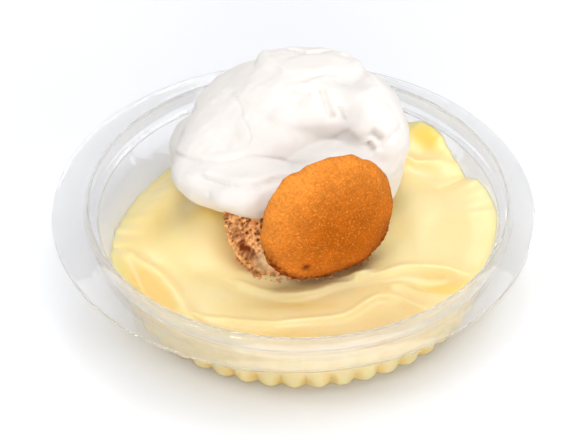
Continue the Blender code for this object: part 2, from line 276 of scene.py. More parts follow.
# Shares of the way from the wall to the middle: the rise to the wall, and the stretch where the folds fade.
shore_width = 0.24
fold_fade = 0.14
# At the front left the surface keeps level almost to the wall: the azimuth, how far that reaches round, and
# the share taken off the rise.
steep_shore = (math.radians(212.0), math.radians(24.0), 0.12)
# Painted shade: the side is coloured a deeper yellow towards the valleys between its flutes, where shade
# falls, fully so at 1 / this number of their depth.
valley_shade_gain = 1.5
# The line where the pudding meets the wall: the azimuth in degrees, and how far it lies below the rim.
wall_contact = [
    (0, 0.0034), (5, 0.0040), (11, 0.0045), (17, 0.0053), (24, 0.0081), (31, 0.0068), (36, 0.0054),
    (40, 0.0035), (44, 0.0029), (48, 0.0030), (53, 0.0048), (62, 0.0080), (90, 0.0090), (130, 0.0150),
    (150, 0.0157), (163, 0.0152), (171, 0.0140), (180, 0.0112), (190, 0.0083), (199, 0.0051), (206, 0.0036),
    (235, 0.0034), (280, 0.0040), (312, 0.0044), (325, 0.0062), (338, 0.0042), (360, 0.0034),
]
# Broad swells and dips of the surface: the middle, the radius and the rise.
swells = [
    (0.036, -0.016, 0.017, 0.0042),
    (-0.042, 0.004, 0.011, -0.0035),
    (-0.024, 0.000, 0.011, 0.0062),
    (0.000, -0.046, 0.012, 0.0026),
    (0.046, 0.022, 0.012, -0.0022),
    (0.030, 0.040, 0.012, 0.0026),
    (0.044, 0.003, 0.013, 0.0028),
]
# Hollows left by the spoon: the middle, the long and short half sizes, the turn in degrees, the depth, and
# how much painted shade deepens the yellow there. Those without a depth are only painted shade.
hollows = [
    (0.0418, -0.0280, 0.0090, 0.0032, -6, 0.0028, 0.8),
    (-0.0395, -0.0285, 0.0110, 0.0036, -52, 0.0024, 0.4),
    (0.0405, 0.0330, 0.0050, 0.0034, -38, 0.0030, 0.2),
    (0.0389, 0.0365, 0.0050, 0.0032, -30, 0.0, 1.3),
    (-0.0230, -0.0200, 0.0070, 0.0040, -20, 0.0010, 0.1),
    (0.0000, -0.0325, 0.0100, 0.0022, 0, 0.0008, 0.4),
    (-0.0040, -0.0465, 0.0120, 0.0022, 0, 0.0005, 0.4),
    (-0.0228, -0.0009, 0.0060, 0.0026, -14, 0.0, 0.6),
    (-0.0390, 0.0010, 0.0150, 0.0090, 65, 0.0, 0.5),
]
# A fold's step down dies out over this many half widths.
fold_reach = 2.4
# Points along a fold's crest, its rise, its half width, and how far it drops on its right-hand side.
folds = [
    ([(-0.0446, -0.0144), (-0.0416, -0.0178), (-0.0386, -0.0200), (-0.0356, -0.0236), (-0.0326, -0.0286),
      (-0.0299, -0.0341), (-0.0272, -0.0395)], 0.0019, 0.0026, 0.0009),
    ([(0.0172, -0.0227), (0.0208, -0.0223), (0.0244, -0.0227), (0.0294, -0.0218), (0.0342, -0.0221),
      (0.0415, -0.0225), (0.0479, -0.0250)], 0.0011, 0.0017, 0.0014),
    ([(-0.0145, -0.0244), (-0.0096, -0.0273), (-0.0044, -0.0291), (0.0007, -0.0292), (0.0058, -0.0280),
      (0.0115, -0.0253), (0.0190, -0.0225)], 0.0008, 0.0018, 0.0008),
    ([(0.0425, -0.0328), (0.0386, -0.0322), (0.0350, -0.0308), (0.0319, -0.0289), (0.0293, -0.0273),
      (0.0268, -0.0268)], 0.0009, 0.0014, 0.0004),
    ([(-0.0247, -0.0384), (-0.0181, -0.0392), (-0.0114, -0.0409), (-0.0046, -0.0425), (0.0030, -0.0412),
      (0.0107, -0.0389), (0.0137, -0.0377), (0.0158, -0.0361), (0.0183, -0.0337), (0.0205, -0.0319),
      (0.0227, -0.0307), (0.0259, -0.0310), (0.0287, -0.0326), (0.0322, -0.0361), (0.0357, -0.0396)],
     0.0009, 0.0015, 0.0008),
    ([(0.0335, 0.0300), (0.0362, 0.0283), (0.0400, 0.0278), (0.0440, 0.0277)], 0.0012, 0.0014, -0.0020),
]


def soft_step(value):
    value = np.clip(value, 0.0, 1.0)
    return value * value * (3.0 - 2.0 * value)


def nearest_on_line(x, y, line):
    """Distance from each point to a line of points, and on which side of it the point lies."""
    best = np.full(np.shape(x), 1e9)
    side = np.zeros(np.shape(x))
    for (start_x, start_y), (end_x, end_y) in zip(line, line[1:]):
        run_x, run_y = end_x - start_x, end_y - start_y
        along = ((x - start_x) * run_x + (y - start_y) * run_y) / (run_x ** 2 + run_y ** 2)
        part = np.clip(along, 0.0, 1.0)
        off_x, off_y = x - start_x - run_x * part, y - start_y - run_y * part
        distance = np.hypot(off_x, off_y)
        closer = distance < best
        best = np.where(closer, distance, best)
        side = np.where(closer, run_x * off_y - run_y * off_x, side)
    return best, side


def fold_height(x, y, line, rise, width, drop):
    """A fold's ridge, and the step down on its right-hand side, which dies out farther away."""
    distance, side = nearest_on_line(x, y, line)
    ridge = rise * np.exp(-(distance / width) ** 2)
    step = drop * soft_step(distance / width) * np.exp(-(distance / (fold_reach * width)) ** 2)
    return ridge - np.where(side < 0.0, step, 0.0)


def hollow_share(x, y, hollow_x, hollow_y, long, short, turn):
    """1 in the middle of a hollow, falling to 0 outside it."""
    turned = math.radians(turn)
    ahead = (x - hollow_x) * math.cos(turned) + (y - hollow_y) * math.sin(turned)
    aside = (y - hollow_y) * math.cos(turned) - (x - hollow_x) * math.sin(turned)
    return np.exp(-(ahead / long) ** 2 - (aside / short) ** 2)


def contact_height(angle):
    """The height at which the pudding meets the wall."""
    degrees = np.degrees(angle) % 360.0
    places = [place for place, _ in wall_contact]
    depths = [depth for _, depth in wall_contact]
    index = np.clip(np.searchsorted(places, degrees, side="right") - 1, 0, len(places) - 2)
    low, high = np.take(places, index), np.take(places, index + 1)
    part = soft_step((degrees - low) / (high - low))
    return rim_height - (np.take(depths, index) * (1.0 - part) + np.take(depths, index + 1) * part)


def pudding_height(x, y, angle, share_out):
    """The surface's height; share_out runs from 0 in the middle to 1 at the wall."""
    middle = np.full(np.shape(x), rim_height - middle_depth)
    for swell_x, swell_y, radius, rise in swells:
        middle = middle + rise * np.exp(-((x - swell_x) ** 2 + (y - swell_y) ** 2) / radius ** 2)
    for *spot, depth, _ in hollows:
        middle = middle - depth * hollow_share(x, y, *spot)
    steep_middle, steep_reach, steep_share = steep_shore
    round_off = (angle - steep_middle + math.pi) % (2.0 * math.pi) - math.pi
    width = shore_width - steep_share * np.exp(-(round_off / steep_reach) ** 2)
    shore = soft_step((share_out - (1.0 - width)) / width)
    height = middle + (contact_height(angle) - middle) * shore
    folded = sum(fold_height(x, y, *fold) for fold in folds)
    return height + folded * (1.0 - soft_step((share_out - (1.0 - fold_fade)) / fold_fade))


def keep_share(item, name, values):
    """Keeps a value at each of the piece's points, for its material to read."""
    kept = item.data.attributes.new(name, "FLOAT", "POINT")
    kept.data.foreach_set("value", np.asarray(values, dtype=float))


def side_place(angle, height):
    """A point on the pudding's side, just inside the wall's plastic."""
    radius = np.interp(height, side_heights, side_radii) + into_wall
    reach = radius + np.interp(height, side_heights, side_shares) * flute_depth * flute_wave(angle)
    return body_shift(height) + reach * np.cos(angle), reach * np.sin(angle)


# Each point is placed anew below, so the draft's rings only have to follow one another, up the side and then
# in over the top.
draft_foot, draft_out, draft_up = 0.0455, 0.00005, 0.0001
draft_edge, draft_level = 0.0460, 0.012
draft = [(draft_foot + draft_out * row, wall + draft_up * row, shift_at_base) for row in range(side_rows)]
for row in range(pudding_rings):
    draft.append((draft_edge * (1.0 - row / pudding_rings), draft_level, shift_at_base))
pudding = turned_rings("pudding_body", draft, pudding_around)
points = points_of(pudding)
angle = np.arctan2(points[:, 1], points[:, 0] - shift_at_base)
row_of = np.repeat(np.arange(len(draft)), pudding_around)
top = contact_height(angle)
on_side = row_of < side_rows
level = (row_of / (side_rows - 1.0)) ** crowding
side_height = wall - into_floor + (top - wall + into_floor) * np.clip(level, 0.0, 1.0)
side_x, side_y = side_place(angle, np.maximum(side_height, wall))
share_out = np.clip(1.0 - (row_of - side_rows + 1.0) / pudding_rings, 0.0, 1.0)
edge_x, edge_y = side_place(angle, top)
edge_shift = body_shift(top)
surface_x = edge_shift + (edge_x - edge_shift) * share_out
surface_y = edge_y * share_out
surface_z = pudding_height(surface_x, surface_y, angle, share_out)
points[:, 0] = np.where(on_side, side_x, surface_x)
points[:, 1] = np.where(on_side, side_y, surface_y)
points[:, 2] = np.where(on_side, side_height, surface_z)
place_points(pudding, points)
# Painted shade: a share of deeper yellow in the hollows, and down the side in the flute valleys, where shade
# falls.
painted_shade = sum(shade_amount * hollow_share(points[:, 0], points[:, 1], *spot) for *spot, _, shade_amount in hollows)
valley = np.clip(-valley_shade_gain * flute_wave(angle), 0.0, 1.0)
valley *= np.interp(side_height, side_heights, side_shares)
keep_share(pudding, "painted_shade", np.where(on_side, valley, np.clip(painted_shade, 0.0, 1.0)))
bpy.ops.object.mode_set(mode="EDIT")
bpy.ops.mesh.select_mode(type="VERT")
bpy.ops.mesh.select_all(action="SELECT")
bpy.ops.mesh.region_to_loop()
bpy.ops.mesh.merge(type="CENTER")
bpy.ops.mesh.select_all(action="SELECT")
bpy.ops.mesh.normals_make_consistent(inside=False)
bpy.ops.object.mode_set(mode="OBJECT")
bpy.ops.object.shade_smooth()

# A Mix node has one set of sockets for each kind of value: these are its share and its colours.
mix_share, mix_under, mix_over, mix_result = 0, 6, 7, 2


def add_ramp(material, value, low, high):
    """A colour between two tones; each end is the value where it is reached, and its tone."""
    ramp = add_node(material, "ValToRGB")
    for end, (position, colour) in zip(ramp.color_ramp.elements, (low, high)):
        end.position = position
        end.color = colour
    join(material, value, ramp.inputs["Fac"])
    return ramp.outputs["Color"]


def read_share(material, name):
    """The values that keep_share left at the piece's points."""
    kept = add_node(material, "Attribute")
    kept.attribute_name = name
    return kept.outputs["Fac"]


def lay_over(material, under, share, colour):
    """Lays a plain colour over what is there, as far as the share says."""
    mix = add_node(material, "Mix")
    mix.data_type = "RGBA"
    mix.inputs[mix_over].default_value = colour
    join(material, share, mix.inputs[mix_share])
    join(material, under, mix.inputs[mix_under])
    return mix.outputs[mix_result]


custard = new_material("banana_custard")
cloud = add_noise(custard, scale=55.0, detail=4.0)
creamy = add_ramp(custard, cloud, (0.35, (0.95, 0.745, 0.35, 1.0)), (0.70, (0.965, 0.79, 0.42, 1.0)))
# The painted shade lays a darker orange-yellow over the pudding's own yellow.
finish(
    custard, colour=lay_over(custard, creamy, read_share(custard, "painted_shade"), (0.97, 0.67, 0.15, 1.0)),
    Subsurface_Weight=0.6, Subsurface_Radius=(1.0, 0.64, 0.24), Subsurface_Scale=0.0065, Roughness=0.33)
pudding.data.materials.append(custard)
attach(pudding, "root")
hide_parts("pudding")

# The whipped cream. One big spoonful dropped on the pudding: scoops that run into each other, with creases
# between them, torn edges on top and soft dents. It lies over the back wafer and right behind the front one.
cream_heart = np.array((-0.001, 0.019, 0.032))
# Its scoops: the middle, the half sizes and the turn in degrees.
cream_scoops = [
    ((-0.0020, 0.0230, 0.0250), (0.0338, 0.0262, 0.0130), 0),
    ((-0.0108, 0.0060, 0.0319), (0.0228, 0.0174, 0.0094), 10),
    ((-0.0043, 0.0217, 0.0372), (0.0237, 0.0233, 0.0130), 0),
    ((0.0024, 0.0207, 0.0448), (0.0212, 0.0162, 0.0095), -12),
    ((0.0048, 0.0261, 0.0522), (0.0152, 0.0075, 0.0025), -8),
    ((0.0198, 0.0152, 0.0393), (0.0113, 0.0160, 0.0147), 20),
    ((0.0253, 0.0074, 0.0302), (0.0047, 0.0094, 0.0116), -18),
    ((-0.0184, 0.0170, 0.0307), (0.0130, 0.0147, 0.0137), 0),
    ((-0.0200, 0.0100, 0.0330), (0.0118, 0.0120, 0.0100), 0),
    ((0.0105, -0.0030, 0.0342), (0.0140, 0.0130, 0.0092), 22),
    ((-0.0085, -0.0068, 0.0342), (0.0140, 0.0088, 0.0062), 8),
]
# How softly the scoops run into each other, as a share of the reach, and how much the blend swells there.
cream_blend, cream_swell = 0.08, 0.5
# The layers of waves in its skin: the rise, the seed, how many waves, and the shortest and longest of them.
cream_waves = [(0.00022, 5, 24, 0.006, 0.016), (0.00007, 6, 30, 0.002, 0.005)]
# The mesh is finer towards this side, the upper front, which has the finest creases.
finer_side = 0.30 * np.array((0.0, -0.6, 0.8))
cream_cuts = 100
under_top = 0.00005
mm = 0.001
# Both ends of a crease fade out over a share of its length. In widths of the groove: how far the raised side
# reaches, and how softly it turns up.
crease_fade = 0.12
raised_reach, raised_turn = 3.5, 0.6
# Creases, in mm: the line, its width, the groove's depth, and how far its left-hand side stands out.
cream_creases = [
    ([(-33.9, 12.3, 33.3), (-30.8, 5.6, 36.3), (-28.4, 2.6, 37.7), (-24.7, -0.2, 38.8), (-20.0, -1.6, 39.6),
      (-15.9, -1.2, 40.3), (-12.9, -0.5, 40.7), (-8.5, -0.8, 40.7), (-3.6, -2.2, 41.7), (-0.4, -4.1, 44.3),
      (2.8, -4.5, 45.6), (6.6, -4.9, 46.2)], 0.9, 0.34, 0.7),
    ([(-26.8, -3.4, 36.8), (-22.1, -5.9, 37.4), (-17.6, -9.3, 38.8), (-13.8, -10.9, 39.4),
      (-9.5, -11.2, 39.6), (-6.8, -10.2, 39.8), (-3.6, -9.0, 40.6), (-0.4, -9.7, 42.9), (1.8, -9.5, 44.0)],
     0.8, 0.65, 1.0),
    ([(-18.9, 25.9, 47.3), (-19.9, 20.5, 47.0), (-17.6, 17.8, 48.0), (-15.3, 15.5, 48.6),
      (-14.1, 12.5, 48.0), (-13.8, 8.8, 46.7), (-12.1, 5.8, 45.6), (-11.3, 3.2, 44.1), (-12.9, 1.3, 41.5)],
     0.9, 0.05, 0.20),
    ([(7.3, 14.2, 53.3), (8.4, 11.7, 52.4), (9.2, 9.5, 51.3), (10.0, 7.5, 49.8), (11.6, 6.5, 48.1)],
     0.9, 1.5, 0.2),
    ([(12.4, 9.3, 50.5), (13.3, 7.7, 48.9), (14.1, 6.5, 47.4)], 0.6, 0.6, 0.1),
    ([(4.8, 12.4, 52.9), (2.9, 12.0, 52.8), (0.2, 12.5, 52.9), (-2.3, 12.5, 52.5), (-3.7, 11.5, 51.9)],
     0.7, 0.30, -0.3),
    ([(9.3, -1.1, 46.4), (11.0, 1.3, 45.9), (13.0, 5.4, 44.1), (14.6, 4.6, 45.4), (16.2, 3.1, 45.2),
      (18.1, 1.3, 44.2)], 0.7, 0.40, 0.5),
    ([(21.0, 2.2, 47.2), (22.7, 1.5, 46.1), (24.6, 1.1, 44.7)], 1.1, 1.8, 0.3),
    ([(20.0, 1.0, 44.5), (21.1, 0.3, 43.3), (22.2, -0.3, 42.0)], 1.1, 1.6, 0.3),
    ([(1.8, 15.4, 53.7), (3.7, 17.4, 54.0), (6.0, 18.5, 54.2), (8.7, 19.6, 54.2), (11.5, 20.0, 53.9),
      (13.2, 20.5, 53.8)], 0.9, 0.8, 0.2),
    ([(19.6, 21.9, 52.8), (21.4, 18.0, 53.6), (22.9, 14.8, 53.5), (23.7, 12.6, 53.1)], 0.7, 0.1, 0.6),
    ([(-2.6, 31.7, 53.8), (0.7, 30.4, 54.4), (3.5, 28.4, 54.7), (7.4, 28.6, 54.6), (10.8, 30.8, 53.8),
      (13.3, 28.4, 54.1), (16.4, 27.0, 53.7)], 0.8, 0.8, 0.3),
    ([(-8.3, 30.0, 53.3), (-7.6, 26.4, 53.8), (-5.1, 23.2, 54.0), (-2.3, 20.5, 54.2), (-0.4, 18.3, 54.1)],
     0.8, -0.3, 0.3),
    ([(23.6, -0.1, 41.8), (25.7, 1.4, 44.1), (27.9, 3.6, 45.1), (30.3, 8.0, 44.9)], 0.8, 0.3, -0.6),
    ([(25.4, -0.8, 33.4), (28.0, 1.9, 33.3), (30.2, 6.1, 32.5)], 0.6, 0.3, 0.2),
    ([(31.0, 14.0, 34.0), (29.0, 25.0, 37.0), (22.0, 35.0, 39.0), (10.0, 43.0, 38.0), (-4.0, 45.0, 37.0),
      (-18.0, 40.0, 36.0)], 1.0, 0.5, 0.8),
    ([(-20.0, 37.0, 44.0), (-10.0, 42.0, 46.0), (3.0, 41.0, 47.0), (14.0, 36.0, 48.0)], 0.9, 0.4, 0.5),
    ([(-33.0, 22.0, 26.0), (-30.0, 35.0, 27.0), (-20.0, 43.0, 27.0), (-6.0, 47.0, 27.0)], 0.9, 0.4, 0.5),
]
# Soft dents, in mm: the middle, the radius and the depth.
cream_dents = [
    ((0.4, 9.8, 51.7), 3.2, 1.0), ((-2.6, 10.8, 51.0), 2.0, 0.5), ((16.8, 17.6, 53.6), 3.4, 1.7),
    ((19.0, 14.8, 53.4), 2.4, 0.9), ((-10.0, -12.0, 39.2), 0.8, 0.8), ((-22.8, -9.4, 34.6), 0.8, 0.6),
    ((-8.5, 30.6, 53.6), 1.6, -0.7), ((22.0, 2.0, 45.5), 2.6, 0.8), ((-21.0, 8.0, 43.0), 9.0, 0.6),
    ((-2.0, 1.5, 46.0), 5.0, -0.4), ((-14.0, 44.0, 38.0), 6.0, 0.8), ((8.0, 44.0, 33.0), 6.0, 0.6),
]


def cream_reach(directions):
    """How far the cream's surface lies from its heart, along each direction."""
    reaches = []
    for centre, half, turn in cream_scoops:
        spin = np.array(Matrix.Rotation(math.radians(-turn), 3, "Z"))
        start = spin @ (cream_heart - np.array(centre)) / np.array(half)
        way = directions @ spin.T / np.array(half)
        square = (way ** 2).sum(axis=1)
        cross = way @ start
        under = cross ** 2 - square * (start @ start - 1.0)
        reaches.append(np.where(under > 0.0, (np.sqrt(np.maximum(under, 0.0)) - cross) / square, -1.0))
    reaches = np.array(reaches)
    longest = reaches.max(axis=0)
    blend = longest * cream_blend
    return longest + blend * np.log(np.exp((reaches - longest) / blend).sum(axis=0)) * cream_swell


def normals_of(item):
    found = np.zeros(len(item.data.vertices) * 3)
    item.data.vertices.foreach_get("normal", found)
    return found.reshape(-1, 3)


def soft_waves(points, seed, count, shortest, longest):
    """A smooth, uneven field between about -1 and 1, made of crossing waves."""
    chance = np.random.default_rng(seed)
    field = np.zeros(len(points))
    for _ in range(count):
        way = chance.normal(size=3)
        way /= np.linalg.norm(way)
        length = chance.uniform(shortest, longest)
        field += np.sin(points @ way * (2.0 * math.pi / length) + chance.uniform(0.0, 2.0 * math.pi))
    return field / math.sqrt(count)


def layered_waves(points, layers):
    """Adds up layers of waves, each with its rise, seed, count, and shortest and longest wave."""
    return sum(rise * soft_waves(points, *waves) for rise, *waves in layers)


def crease_lift(points, normals, line, width, groove, step):
    """How far a crease lifts each point along its normal; its line is first drawn to the nearest points."""
    on_skin = [np.linalg.norm(points - np.array(spot) * mm, axis=1).argmin() for spot in line]
    line = points[on_skin]
    width, groove, step = width * mm, groove * mm, step * mm
    best = np.full(len(points), 1e9)
    side = np.zeros(len(points))
    along = np.zeros(len(points))
    lengths = np.linalg.norm(np.diff(line, axis=0), axis=1)
    done = 0.0
    for start, end, length in zip(line, line[1:], lengths):
        run = (end - start) / length
        part = np.clip((points - start) @ run, 0.0, length)
        off = points - start - part[:, None] * run
        distance = np.linalg.norm(off, axis=1)
        closer = distance < best
        best = np.where(closer, distance, best)
        side = np.where(closer, (np.cross(normals, run) * off).sum(axis=1), side)
        along = np.where(closer, (done + part) / lengths.sum(), along)
        done += length
    ends = soft_step(along / crease_fade) * soft_step((1.0 - along) / crease_fade)
    turned_up = soft_step(0.5 + side / (raised_turn * width))
    raised = step * np.exp(-(best / (raised_reach * width)) ** 2) * turned_up
    return ends * (raised - groove * np.exp(-(best / width) ** 2))


bpy.ops.object.select_all(action="DESELECT")
bpy.ops.mesh.primitive_cube_add(size=1.0)
cream = bpy.context.object
cream.name = cream.data.name = "cream_dollop"
bpy.ops.object.mode_set(mode="EDIT")
bpy.ops.mesh.select_all(action="SELECT")
bpy.ops.mesh.subdivide(number_cuts=cream_cuts)
bpy.ops.object.mode_set(mode="OBJECT")
# The cube's points become ways out from the heart, spread evenly and then drawn towards the finer side.
ways = points_of(cream)
ways = np.tan(ways * math.pi / 2.0)
ways /= np.linalg.norm(ways, axis=1)[:, None]
ways += finer_side
ways /= np.linalg.norm(ways, axis=1)[:, None]
place_points(cream, cream_heart + ways * cream_reach(ways)[:, None])
bpy.ops.object.mode_set(mode="EDIT")
bpy.ops.mesh.select_all(action="SELECT")
bpy.ops.mesh.vertices_smooth(factor=0.5, repeat=26)
bpy.ops.object.mode_set(mode="OBJECT")
points, normals = points_of(cream), normals_of(cream)
lift = layered_waves(points, cream_waves)
for line, width, groove, step in cream_creases:
    lift += crease_lift(points, normals, line, width, groove, step)
for middle, radius, depth in cream_dents:
    distance = np.linalg.norm(points - np.array(middle) * mm, axis=1)
    lift -= depth * mm * np.exp(-(distance / (radius * mm)) ** 2)
points = points + normals * lift[:, None]
points[:, 2] = np.minimum(points[:, 2], cad_high.z - under_top)
place_points(cream, points)
bpy.ops.object.shade_smooth()

whipped = new_material("whipped_cream")
# The spoon's stroke marks are long and low: a noise squeezed along the height, and turned a little.
stroke_place = add_node(whipped, "Mapping", Scale=(60.0, 130.0, 420.0), Rotation=(0.35, 0.10, 0.0))
join(whipped, add_node(whipped, "TexCoord").outputs["Object"], stroke_place.inputs["Vector"])
strokes = add_node(whipped, "TexNoise", Scale=1.0, Detail=2.0)
join(whipped, stroke_place.outputs["Vector"], strokes.inputs["Vector"])
stroke_marks = add_bump(whipped, strokes.outputs["Fac"], strength=0.35, distance=0.0006)
bubbles = add_noise(whipped, scale=700.0, detail=3.0)
finish(
    whipped, relief=add_bump(whipped, bubbles, strength=0.25, distance=0.0002, under=stroke_marks),
    Base_Color=(0.82, 0.785, 0.75, 1.0), Subsurface_Weight=0.5, Subsurface_Radius=(1.0, 0.9, 0.8),
    Subsurface_Scale=0.0022, Roughness=0.55)
cream.data.materials.append(whipped)
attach(cream, "root")
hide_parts("whipped_cream")

# The wafers. Two round vanilla biscuits, baked flat side down, with a domed golden top of fine grain. They
# are pushed into the pudding: the front one stands upright and shows its top, and the back one leans under
# the cream and shows the open crumb of its flat side.
wafer_around = 240
front_radius, front_thickness, front_rows = 0.0194, 0.0086, 40
back_radius, back_thickness, back_rows = 0.0178, 0.0080, 52
# How far the flat side lies below the widest ring, and how much of the radius is flat.
flat_depth, flat_share = 0.0020, 0.80
# The turn from the flat side up to the widest ring, in shares of the radius and of that depth.
edge_turn = [(0.87, 0.95), (0.93, 0.80), (0.97, 0.58), (0.99, 0.35), (1.0, 0.0)]
# Powers that give the edge its full shoulder and the dome its low top.
shoulder_power, dome_power = 0.72, 1.15
# Their outlines are not quite round: how many waves, their height as a share of the radius, and the phase.
front_outline = [(2, 0.0096, -2.11), (3, 0.0115, 3.01), (4, 0.0200, -1.34)]
back_outline = [(2, 0.012, 0.6), (3, 0.008, 2.0), (5, 0.006, 1.0)]


def wafer_place(centre, turn, tilt):
    spin = Matrix.Rotation(math.radians(turn), 4, "Z") @ Matrix.Rotation(math.radians(90.0 - tilt), 4, "X")
    return Matrix.Translation(centre) @ spin


def baked_disc(name, radius, thickness, waves, rows):
    """A biscuit lying flat: its flat side below, a full edge, and a low dome."""
    dome = thickness - flat_depth
    profile = [(radius * flat_share * row / rows, -flat_depth) for row in range(1, rows + 1)]
    profile += [(radius * out, -flat_depth * down) for out, down in edge_turn]
    for row in range(1, rows):
        angle = math.radians(90.0 * row / rows)
        profile.append((radius * math.cos(angle) ** shoulder_power, dome * math.sin(angle) ** dome_power))
    disc = turned_rings(name, [(reach, height, 0.0) for reach, height in profile], wafer_around)
    bpy.ops.object.mode_set(mode="EDIT")
    bpy.ops.mesh.edge_face_add()
    bpy.ops.mesh.select_all(action="SELECT")
    bpy.ops.mesh.normals_make_consistent(inside=False)
    bpy.ops.object.mode_set(mode="OBJECT")
    points = points_of(disc)
    angle = np.arctan2(points[:, 1], points[:, 0])
    uneven = 1.0 + sum(size * np.sin(times * angle + phase) for times, size, phase in waves)
    points[:, :2] *= uneven[:, None]
    place_points(disc, points)
    bpy.ops.object.shade_smooth()
    return disc


front_wafer = baked_disc("wafer_upright", front_radius, front_thickness, front_outline, front_rows)
points, normals = points_of(front_wafer), normals_of(front_wafer)
# Chips and bumps of its edge: the direction and width in degrees, and how far the edge moves.
edge_marks = [
    (113, 5, -0.0009), (126, 6, 0.0004), (69, 6, 0.0004),
    (58, 5, -0.0003), (318, 8, 0.0004), (200, 9, -0.0003),
]
way_out = np.degrees(np.arctan2(points[:, 1], points[:, 0]))
reach = np.hypot(points[:, 0], points[:, 1])
for direction, spread, grow in edge_marks:
    off = (way_out - direction + 180.0) % 360.0 - 180.0
    moved = 1.0 + grow * (reach / front_radius) ** 3 / front_radius * np.exp(-(off / spread) ** 2)
    points[:, :2] *= moved[:, None]
# It is coloured paler towards its edge, partly as its bake and partly as painted light: four times as
# much at the upper left, where the light falls on the dome, as at the lower right.
painted_light_way = 150.0
upper_left = 0.5 + 0.5 * np.cos(np.radians(way_out - painted_light_way))
paler_edge_and_light = np.clip(reach / front_radius, 0.0, 1.0) ** 2 * (0.25 + 0.75 * upper_left)
# One small burnt dimple low on the left, and a ragged dark border along the lower edge, which runs up the
# dome a little farther on the right. The border is a browned edge with painted shade on it, where the wafer
# faces down and meets the pudding.
burn_x, burn_y, burn_radius, burn_depth = -0.0082, -0.0106, 0.0012, 0.0004
burn_away = np.hypot(points[:, 0] - burn_x, points[:, 1] - burn_y)
burn = np.exp(-(burn_away / burn_radius) ** 2)
half_way_out = 0.012
dark_edge_height = 0.0039 + 0.0006 * np.clip(points[:, 0] / half_way_out, -1.0, 1.0)
lower_edge_shade = np.exp(-(np.maximum(points[:, 2], 0.0) / dark_edge_height) ** 4)
lower_edge_shade = lower_edge_shade * soft_step(0.10 - points[:, 1] / half_way_out)
singe_and_shade = np.clip(burn + lower_edge_shade * (0.95 + 0.35 * soft_waves(points, 14, 20, 0.0008, 0.002)), 0.0, 1.0)
lift = layered_waves(points, [(0.00016, 11, 16, 0.006, 0.014), (0.00006, 12, 40, 0.0009, 0.0024)])
lift += lower_edge_shade * 0.00016 * soft_waves(points, 15, 24, 0.0007, 0.0018) - burn_depth * burn
place_points(front_wafer, points + normals * lift[:, None])
keep_share(front_wafer, "rim", paler_edge_and_light)
keep_share(front_wafer, "singe_and_shade", singe_and_shade)
front_wafer.data.transform(wafer_place(centre=(0.0089, -0.0204, 0.0354), turn=22.6, tilt=1.5))

back_wafer = baked_disc("wafer_leaning", back_radius, back_thickness, back_outline, back_rows)
points, normals = points_of(back_wafer), normals_of(back_wafer)
# Its flat side is open crumb: many small pits, each of its own size and depth, in an uneven ground. The
# crumb goes on round the edge, and ends a little above the widest ring.
pit_count, pit_field, deepest_pit = 1300, 0.0176, 0.0008
pit_least, pit_most = 0.00018, 0.00050
flat_end, flat_fade = 0.0008, 0.0012
chance = np.random.default_rng(21)
pits = np.zeros(len(points))
for _ in range(pit_count):
    pit_angle = chance.uniform(0.0, 2.0 * math.pi)
    pit_reach = pit_field * math.sqrt(chance.uniform())
    pit_radius = chance.uniform(pit_least, pit_most)
    pit_depth = chance.uniform(0.3, 1.0)
    away_x = points[:, 0] - pit_reach * math.cos(pit_angle)
    away_y = points[:, 1] - pit_reach * math.sin(pit_angle)
    pits = np.maximum(pits, pit_depth * np.exp(-(np.hypot(away_x, away_y) / pit_radius) ** 2))
flat_side = soft_step((flat_end - points[:, 2]) / flat_fade)
pits *= flat_side
lift = layered_waves(points, [(0.00034, 13, 30, 0.0014, 0.005), (0.00028, 16, 40, 0.0007, 0.0015)])
lift = lift * flat_side - deepest_pit * pits
# Near its lower left edge the flat side is burnt in a band, and beside that lies a pale patch of soft crumb.
burnt_reach, burnt_width, burnt_way, burnt_spread = 0.0152, 0.0017, 153.0, 21.0
way_out = np.degrees(np.arctan2(points[:, 1], points[:, 0]))
reach = np.hypot(points[:, 0], points[:, 1])
burnt = np.exp(-((reach - burnt_reach) / burnt_width) ** 2 - ((way_out - burnt_way) / burnt_spread) ** 2)
burnt *= flat_side
burnt *= np.clip(1.1 + 0.7 * soft_waves(points, 17, 20, 0.0010, 0.0026), 0.0, 1.5)
pale_x, pale_y, pale_long, pale_short = -0.0078, 0.0108, 0.0034, 0.0030
pale = np.exp(-((points[:, 0] - pale_x) / pale_long) ** 2 - ((points[:, 1] - pale_y) / pale_short) ** 2)
pale *= flat_side
place_points(back_wafer, points + normals * lift[:, None])
keep_share(back_wafer, "pits", pits)
keep_share(back_wafer, "burnt", burnt)
keep_share(back_wafer, "pale", pale)
back_wafer.data.transform(Matrix.Rotation(math.pi, 4, "X"))
back_wafer.data.transform(wafer_place(centre=(-0.0013, -0.0093, 0.0265), turn=12.0, tilt=40.0))


def add_range(material, value, found, wanted):
    """Stretches the values found, from low to high, to the wanted ones."""
    stretch = add_node(
        material, "MapRange", From_Min=found[0], From_Max=found[1], To_Min=wanted[0], To_Max=wanted[1])
    join(material, value, stretch.inputs["Value"])
    return stretch.outputs["Result"]


def add_shade(material, colour, factor):
    """Makes a colour darker or lighter by a factor that varies over the piece."""
    shade = add_node(material, "VectorMath")
    shade.operation = "SCALE"
    join(material, colour, shade.inputs[0])
    join(material, factor, shade.inputs["Scale"])
    return shade.outputs["Vector"]


def combine(owner, operation, first, second):
    maths = add_node(owner, "Math")
    maths.operation = operation
    join(owner, first, maths.inputs[0])
    join(owner, second, maths.inputs[1])
    return maths.outputs["Value"]
